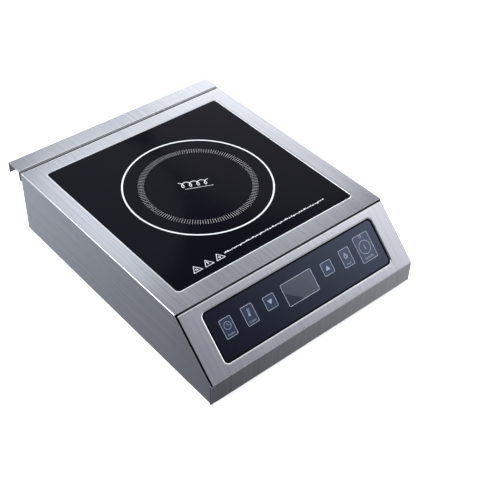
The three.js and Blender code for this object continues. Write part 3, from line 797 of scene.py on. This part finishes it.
def make_caution_marks(surface):
    """Three plain triangles and a fine dashed line along the front of the glass."""
    line_y = GLASS_LOW.y + 16.8 * MM
    first_x, pitch, size = -99.7 * MM, 17.1 * MM, 7.0 * MM
    groups = []
    low_y, high_y = line_y - 0.8 * size, line_y + 0.8 * size
    for index in range(3):
        x = first_x + pitch * index
        corners = [(x - size, low_y), (x + size, low_y), (x, high_y)]
        outer = [(*corner, 0.5 * MM) for corner in corners]
        inner = [(*corner, 0.2 * MM) for corner in rounded([(*corner, 0) for corner in corners], 0.8 * MM)]
        groups.append([outer, hole(inner)])
        if index == 1:
            groups.append([stroke([(x, line_y + 0.3 * size), (x, line_y - 0.45 * size)], 1.1 * MM)])
        else:
            groups.append(dial(x, line_y - 0.25 * size, 1.6 * MM, 0.8 * MM))
    print_piece("printed_triangles", groups, surface, WHITE_INK, steps=3)

    dashes = []
    x = -56.6 * MM
    count = 0
    while x < 106 * MM:
        length = (1.0 + 0.45 * (count * 7 % 5)) * MM
        height = (1.1 + 0.35 * (count * 3 % 4)) * MM
        y = line_y + (height - 1.1 * MM) * (0.5 if count % 3 else -0.5)
        dashes.append([stroke([(x, y), (x + length, y)], height, round_ends=False)])
        x += length + 0.75 * MM
        count += 1
    print_piece("printed_line", dashes, surface, WHITE_INK, steps=2)


# ---------------- keypad

KEY_FLANGE = 1.2 * MM


def cap_box(node):
    """(x0, x1, down0, down1, top) of a key's or the display's cap, inside its hidden flange."""
    (x0, down0, _), (x1, down1, top) = slope_box(node)
    return x0 + KEY_FLANGE, x1 - KEY_FLANGE, down0 + KEY_FLANGE, down1 - KEY_FLANGE, top


def cap_outline(x0, x1, down0, down1, radius, margin=0.0):
    """A rectangle on the sloping panel, smaller by the margin on every side."""
    return rectangle(x0 + margin, x1 - margin, -down1 + margin, -down0 - margin, radius)


KEY_NODES = sorted(name for name in frame["nodes"] if name.startswith("key_"))
OVERLAY_LOW, OVERLAY_HIGH = slope_box("keypad_overlay")


def make_overlay():
    """The carrier, dull black where it shows round the film as painted shade of the recess under the window's
    edge, and the film on it, with holes for the keys and the display.
    """
    top = OVERLAY_HIGH[2]
    gap = 0.25 * MM
    caps = [cap_box(node)[:4] for node in [*KEY_NODES, "display_window"]]
    holes = [hole(cap_outline(*cap, 1.9 * MM, -gap)) for cap in caps]
    carrier = cap_outline(OVERLAY_LOW[0], OVERLAY_HIGH[0], OVERLAY_LOW[1], OVERLAY_HIGH[1], 7 * MM)
    thickness = top - OVERLAY_LOW[2]
    film_step = 0.12 * MM
    plate_piece("overlay_carrier", [carrier, *holes], thickness, on_panel(top - film_step), CARRIER,
                edge=0.05 * MM, slot="overlay_film", replaces=["keypad_overlay"])
    # The film stops 2.1 mm inside the window, so the carrier's black shows round it as a line of painted shade.
    film = cap_outline(*window_box(), 5 * MM, 2.1 * MM)
    plate_piece("overlay_film_sheet", [film, *holes], film_step * 1.2, on_panel(top), FILM, edge=0.04 * MM,
                bottom=0.01 * MM, steps=8, slot="overlay_film")


def make_display():
    """The lens: two shallow facets that meet in a slanting crease."""
    x0, x1, down0, down1, top = cap_box("display_window")
    low, high = slope_box("display_window")
    round_corner = 1.7 * MM
    crease_from = Vector((x0, -(down0 + 0.35 * (down1 - down0))))
    crease_to = Vector((x0 + 0.52 * (x1 - x0), -down1))
    run = (crease_to - crease_from).normalized()
    across = Vector((run.y, -run.x))
    tilt = math.tan(math.radians(5))
    upper = [(*crease_from, HAIR), (*crease_to, HAIR), (x1, -down1, round_corner), (x1, -down0, round_corner),
             (x0, -down0, round_corner)]
    lower = [(x0, -down1, round_corner), (*crease_to, HAIR), (*crease_from, HAIR)]
    thick = top - low[2] - 0.6 * MM

    def tilted(x, y, depth):
        sink = (Vector((x, y)) - crease_from).dot(across) * tilt
        return on_slope(x, -y, top - 0.02 * MM - max(sink + depth, depth))

    mesh = bmesh.new()
    add_slab(mesh, [upper], thick, on_panel(top - 0.02 * MM), edge=0.15 * MM)
    add_slab(mesh, [lower], thick - 1.6 * MM, tilted, edge=0.15 * MM)
    flange = cap_outline(low[0], high[0], low[1], high[1], 1.7 * MM)
    flange_thick = 1 * MM
    add_slab(mesh, [flange], flange_thick, on_panel(low[2] + flange_thick), edge=0.1 * MM)
    make_piece("display_lens", mesh, LENS, slot="smoked_acrylic", replaces=["display_window"])
    line = outline_ring(x0, x1, down0, down1, 0.05 * MM, 0.6 * MM)
    print_piece("display_outline", [line], on_panel(top + INK_HEIGHT), OUTLINE_INK)


def outline_ring(x0, x1, down0, down1, margin, width):
    """A printed line just inside a cap's edge."""
    radius = 1.7 * MM
    outer = cap_outline(x0, x1, down0, down1, radius, margin)
    inner = cap_outline(x0, x1, down0, down1, radius - width, margin + width)
    return [outer, hole(inner)]


def caption(x, y, width, height):
    """A row of fine strokes that stands for no words."""
    marks = []
    step = 1.3 * MM
    lean = 0.25 * MM
    line = 0.38 * MM
    count = int(width / step)
    for index in range(count):
        mark_x = x - (count - 1) * step / 2 + index * step
        foot = y - height / 2
        head = foot + height * (0.62 if index % 4 else 1.0)
        marks.append([stroke([(mark_x - lean, foot), (mark_x + lean, head)], line, False)])
        if index % 2:
            marks.append([stroke([(mark_x - step + lean, y), (mark_x, y)], line, False)])
    return marks


def dial(x, y, radius, width):
    return [circle(x, y, radius), hole(circle(x, y, radius - width))]


def icon_timer(x, y):
    line = 0.5 * MM
    hands = [(x, y + 3.2 * MM), (x, y), (x + 2.7 * MM, y - 0.2 * MM)]
    return [dial(x, y, 4.9 * MM, line), [stroke(hands, line)]]


def icon_temperature(x, y):
    line = 0.45 * MM
    bulb_x = x - 0.6 * MM
    groups = [[circle(bulb_x, y - 2.6 * MM, 1.5 * MM)],
              [stroke([(bulb_x, y - 1.5 * MM), (bulb_x, y + 5 * MM)], 0.7 * MM)]]
    for k in range(5):
        rung = y + (k - 0.4) * 1.3 * MM
        groups.append([stroke([(bulb_x + 0.9 * MM, rung), (bulb_x + 2.5 * MM, rung)], line, False)])
    return groups


def icon_arrow(x, y, way):
    size = 3.5 * MM
    corners = [(x - size, y - way * size * 0.8, 0.3 * MM), (x + size, y - way * size * 0.8, 0.3 * MM),
               (x, y + way * size * 0.9, 0.3 * MM)]
    return [[corners if way > 0 else hole(corners)]]


def icon_flame(x, y):
    line = 0.95 * MM
    left = [(-0.9, -3.6), (-2.5, -1.6), (-2.1, 0.8), (-0.7, 2.2), (-0.5, 4.6)]
    middle = [(0.2, -3.8), (0.9, -1.6), (0.3, 0.6), (1.1, 2.6)]
    right = [(1.4, -3.4), (2.7, -1.2), (2.3, 0.9)]
    tongues = [[(x + px * MM, y + py * MM) for px, py in points] for points in (left, middle, right)]
    return [[stroke(points, line)] for points in tongues]


def icon_power(x, y):
    line = 0.55 * MM
    bar = [stroke([(x, y - 3.3 * MM), (x, y + 3.3 * MM)], 0.8 * MM)]
    light = dial(x, y + 14.3 * MM, 1.9 * MM, line)
    return [dial(x, y, 9.0 * MM, line), bar, light]


def key_icon(node, x, y):
    """The printed sign on a key, centred at (x, y) with y up the slope."""
    if node == "key_down":
        return icon_arrow(x, y, -1)
    if node == "key_up":
        return icon_arrow(x, y, 1)
    if node == "key_on_off":
        return [*icon_power(x, y + 0.4 * MM), *caption(x, y - 13 * MM, 14.5 * MM, 3 * MM)]
    icon, width = {
        "key_timer": (icon_timer, 11 * MM),
        "key_temperature": (icon_temperature, 11 * MM),
        "key_power_level": (icon_flame, 9 * MM),
    }[node]
    return [*icon(x, y + 2.4 * MM), *caption(x, y - 8 * MM, width, 2.4 * MM)]


def make_key(node):
    x0, x1, down0, down1, top = cap_box(node)
    low, high = slope_box(node)
    centre_x, centre_down = (x0 + x1) / 2, (down0 + down1) / 2
    flange_top = OVERLAY_LOW[2] - 0.3 * MM
    mesh = bmesh.new()
    radius = 1.8 * MM
    cap = cap_outline(x0, x1, down0, down1, radius)
    add_slab(mesh, [cap], top - flange_top + 0.5 * MM, on_panel(top), edge=0.12 * MM, crown=0.06 * MM)
    flange = cap_outline(low[0], high[0], low[1], high[1], radius)
    add_slab(mesh, [flange], 1 * MM, on_panel(flange_top), edge=0.1 * MM)
    stem = circle(centre_x, -centre_down, 3 * MM)
    stem_top = flange_top - 0.8 * MM
    add_slab(mesh, [stem], stem_top - low[2], on_panel(stem_top), edge=0.1 * MM, bottom=0.4 * MM)
    make_piece(node + "_cap", mesh, KEY_FILM, body=node, slot="key_film", replaces=[node])
    surface = on_panel(top + 0.03 * MM)
    line = outline_ring(x0, x1, down0, down1, 0.1 * MM, 0.52 * MM)
    print_piece(node + "_outline", [line], surface, OUTLINE_INK, body=node)
    print_piece(node + "_print", key_icon(node, centre_x, -centre_down), surface, KEY_INK, body=node)


# ---------------- feet, gland and the pieces that stay

def make_foot(number):
    low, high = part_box(f"foot_{number}")
    centre = Vector(((low.x + high.x) / 2, (low.y + high.y) / 2, 0))
    height = high.z - low.z
    profile = [(4.5 * MM, 0, 0.3 * MM), (14.2 * MM, 0, 1.0 * MM), (15 * MM, 1.4 * MM, 0.6 * MM),
               (14.2 * MM, 5 * MM, 0.3 * MM), (13.5 * MM, height, 0.5 * MM), (2.3 * MM, height, 0.2 * MM),
               (2.3 * MM, 5 * MM, 0.2 * MM), (4.5 * MM, 5 * MM, 0.2 * MM)]
    mesh = bmesh.new()
    add_turned(mesh, profile, Matrix.Translation(centre))
    make_piece(f"rubber_foot_{number}", mesh, RUBBER, slot="foot_rubber", replaces=[f"foot_{number}"])


def make_gland():
    low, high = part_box("cord_gland")
    panel_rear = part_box("rear_panel")[1].y
    centre = Vector(((low.x + high.x) / 2, 0, (low.z + high.z) / 2))
    backwards = Matrix.Rotation(-math.pi / 2, 4, "X")
    outside = panel_rear + 0.3 * MM
    bore, thread = 5.5 * MM, 8.6 * MM
    profile = [(bore, low.y, 0.3 * MM), (thread, low.y, 0.4 * MM), (thread, outside, 0.1 * MM),
               (11.2 * MM, outside, 0.3 * MM), (11.2 * MM, outside + 1.5 * MM, 0.3 * MM),
               (10 * MM, outside + 5 * MM, 0.3 * MM), (10 * MM, outside + 14 * MM, 2.5 * MM),
               (8 * MM, high.y, 1.2 * MM), (bore, high.y, 0.6 * MM)]
    mesh = bmesh.new()
    add_turned(mesh, profile, Matrix.Translation(centre) @ backwards)

    def place(x, z, depth):
        return Vector((centre.x + x, outside + 4 * MM - depth, centre.z + z))

    add_slab(mesh, [hexagon(12 * MM), hole(circle(0, 0, 9.5 * MM))], 4 * MM, place, edge=0.6 * MM,
             bottom=0.3 * MM, steps=8)
    make_piece("cord_gland_body", mesh, PLASTIC, slot="black_plastic", replaces=["cord_gland"])


def hexagon(radius):
    turns = [math.pi / 3 * side for side in range(6)]
    return [(radius * math.cos(turn), radius * math.sin(turn), 0.5 * MM) for turn in turns]


def finish_cad_node(node, slot):
    """Gives a CAD node that stays its material, and softens its edges without touching its mesh."""
    piece = frame["nodes"][node]
    piece.data.materials.clear()
    piece.data.materials.append(SLOT_MATERIALS[slot])
    weld = piece.modifiers.new("weld", "WELD")
    weld.merge_threshold = 0.01 * MM
    bevel = piece.modifiers.new("bevel", "BEVEL")
    bevel.width = 0.15 * MM
    bevel.segments = 2
    bevel.limit_method = "ANGLE"
    bevel.angle_limit = math.radians(35)


# ---------------- stage, light and camera

def make_paper(name, points, faces, glow):
    """A sheet of pale studio paper, seen by the camera but not in reflections."""
    mesh = bpy.data.meshes.new(name)
    mesh.from_pydata(points, [], faces)
    paper = add_object(name, mesh)
    material, _, shader = start_material(name + "_paper", (0.9, 0.9, 0.9), 0.9, Specular_IOR_Level=0.0)
    shader.inputs["Emission Color"].default_value = (1, 1, 1, 1)
    shader.inputs["Emission Strength"].default_value = glow
    mesh.materials.append(material)
    paper.visible_glossy = False
    paper.visible_diffuse = False
    return paper


def make_floor():
    reach = 80
    corners = [(-reach, -reach, 0), (reach, -reach, 0), (reach, reach, 0), (-reach, reach, 0)]
    make_paper("floor", corners, [(0, 1, 2, 3)], 0.75)


def make_backdrop():
    """A high wall far off all round, which the studio's light passes through."""
    reach, height, sides = 20, 15, 48
    turns = [2 * math.pi * side / sides for side in range(sides)]
    foot_points = [(reach * math.cos(turn), reach * math.sin(turn), 0) for turn in turns]
    head_points = [(x, y, height) for x, y, _ in foot_points]
    faces = [(side, (side + 1) % sides, sides + (side + 1) % sides, sides + side) for side in range(sides)]
    wall = make_paper("backdrop", foot_points + head_points, faces, 1.0)
    wall.visible_shadow = False


# Colour of the empty studio at this height of a direction, from -1 straight down to 1 straight up.
ROOM = [(-1.0, (0.05, 0.05, 0.055)), (-0.8, (0.032, 0.035, 0.044)), (-0.7, (0.100, 0.108, 0.131)),
        (-0.6, (0.02, 0.022, 0.04)), (-0.4, (0.22, 0.235, 0.28)), (0.0, (0.22, 0.235, 0.28)),
        (0.5, (0.0, 0.005, 0.04)), (0.87, (0.20, 0.215, 0.25)), (1.0, (1.15, 1.15, 1.2))]
# Soft boxes: where each stands, how tightly it is gathered, how bright its middle is and how blue it looks.
SOFT_BOXES = [
    ((0.61, 0.79, 0.10), 31, 2.25, 0.03),       # large, behind right
    ((0.63, 0.69, 0.35), 80, 1.4, 0.03),        # its bright top
    ((-0.28, 0.75, 0.60), 52, 0.85, 0.06),      # high behind
    ((0.94, -0.33, 0.10), 24, 2.6, 0.0),        # right
    ((0.90, -0.38, -0.22), 15, 3.5, 0.0),       # low right
    ((0.53, 0.01, 0.85), 30, 3.15, 0.02),       # overhead
    ((-0.70, 0.44, 0.56), 24, 10.5, 0.04),      # small, behind left
    ((-0.32, 0.88, -0.36), 15, 0.9, 0.09),      # light from the table behind
    ((0.67, -0.44, 0.60), 62, 2.75, 0.03),      # front right
    ((0.70, -0.56, 0.44), 62, 0.9, 0.06),       # its lower edge
    ((0.35, 0.93, 0.00), 18, 4.0, 0.05),        # pale wall behind
    ((-0.55, -0.50, -0.67), 9, 0.14, 0.05),     # light from the table in front
    ((-0.25, -0.95, 0.00), 8, 0.5, 0.05),       # faint glow from the front
]
# Round lamps close to the hob: centre, radius, watts and how blue.
LAMPS = [
    ("lamp_behind_right", (0.90, 0.82, 0.67), 0.39, 5.2, 0.03),
    ("lamp_over_seam", (0.134, 0.502, 0.555), 0.168, 0.91, 0.08),
]


def cool(brightness, blueness):
    """White light of this brightness, shifted towards blue."""
    return (brightness * (1 - 0.6 * blueness), brightness, brightness * (1 + 1.1 * blueness))


def make_studio():
    """A dim bluish room, brighter towards the table, with round soft boxes in it."""
    world = bpy.data.worlds.new("studio")
    bpy.context.scene.world = world
    world.use_nodes = True
    tree = world.node_tree
    room = tree.nodes["Background"]
    direction = add_node(tree, "ShaderNodeTexCoord").outputs["Generated"]
    parts = add_node(tree, "ShaderNodeSeparateXYZ")
    tree.links.new(direction, parts.inputs[0])
    ramp = add_node(tree, "ShaderNodeValToRGB")
    tree.links.new(spread(tree, parts.outputs["Z"], 0, 1, -1, 1), ramp.inputs["Fac"])
    stops = ramp.color_ramp.elements
    while len(stops) < len(ROOM):
        stops.new(0.5)
    for stop, (height, color) in zip(stops, ROOM):
        stop.position = (height + 1) / 2
        stop.color = (*color, 1)
    tree.links.new(ramp.outputs["Color"], room.inputs["Color"])

    total = (0, 0, 0)
    for towards, gather, brightness, blueness in SOFT_BOXES:
        middle = Vector(towards).normalized()
        nearness = calculate(tree, "ShaderNodeVectorMath", "DOT_PRODUCT", direction, middle)["Value"]
        falloff = calculate(tree, "ShaderNodeMath", "MULTIPLY_ADD", nearness, gather, -gather)[0]
        glow = calculate(tree, "ShaderNodeMath", "EXPONENT", falloff)[0]
        color = cool(brightness, blueness)
        total = calculate(tree, "ShaderNodeVectorMath", "MULTIPLY_ADD", glow, color, total)["Vector"]
    boxes = add_node(tree, "ShaderNodeBackground")
    tree.links.new(total, boxes.inputs["Color"])
    both = add_node(tree, "ShaderNodeAddShader")
    tree.links.new(room.outputs[0], both.inputs[0])
    tree.links.new(boxes.outputs[0], both.inputs[1])
    tree.links.new(both.outputs[0], tree.nodes["World Output"].inputs["Surface"])


def make_lamps():
    for name, centre, radius, watts, blueness in LAMPS:
        data = bpy.data.lights.new(name, "POINT")
        data.color = cool(1.0, blueness)
        data.energy = watts
        data.shadow_soft_size = radius
        lamp = add_object(name, data)
        lamp.location = centre
        lamp.visible_camera = False


def make_camera():
    """Above the front left corner, aimed at the seam between the cover and the sloping panel."""
    azimuth, elevation = math.radians(-41.92), math.radians(42.13)
    distance = 1167.46 * MM
    roll = math.radians(2.12)
    aim = Vector((-29.25 * MM, SEAM.y + 29.6 * MM, TOP))
    back = Vector((math.sin(azimuth) * math.cos(elevation), -math.cos(azimuth) * math.cos(elevation),
                   math.sin(elevation)))
    turned = back.to_track_quat("Z", "Y").to_matrix() @ Matrix.Rotation(roll, 3, "Z")
    data = bpy.data.cameras.new("camera")
    data.sensor_width = 36
    data.lens = 70.43
    data.clip_start = 0.05
    data.clip_end = 200
    camera = add_object("camera", data)
    camera.matrix_world = Matrix.Translation(aim + back * distance) @ turned.to_4x4()
    bpy.context.scene.camera = camera


# ---------------- assembly

make_camera()
make_cover()
make_front_panel()
make_rear_guard()
make_rear_panel()
make_glass()
make_seal()
make_glass_printing()
make_overlay()
make_display()
for key in KEY_NODES:
    make_key(key)
for foot in range(1, 5):
    make_foot(foot)
make_gland()
for part in frame["record"]["subparts"]:
    if not frame["nodes"][part["node"]].hide_render:
        finish_cad_node(part["node"], part["material_slot"])
make_floor()
make_backdrop()
make_studio()
make_lamps()
bpy.context.scene.view_settings.view_transform = "Standard"
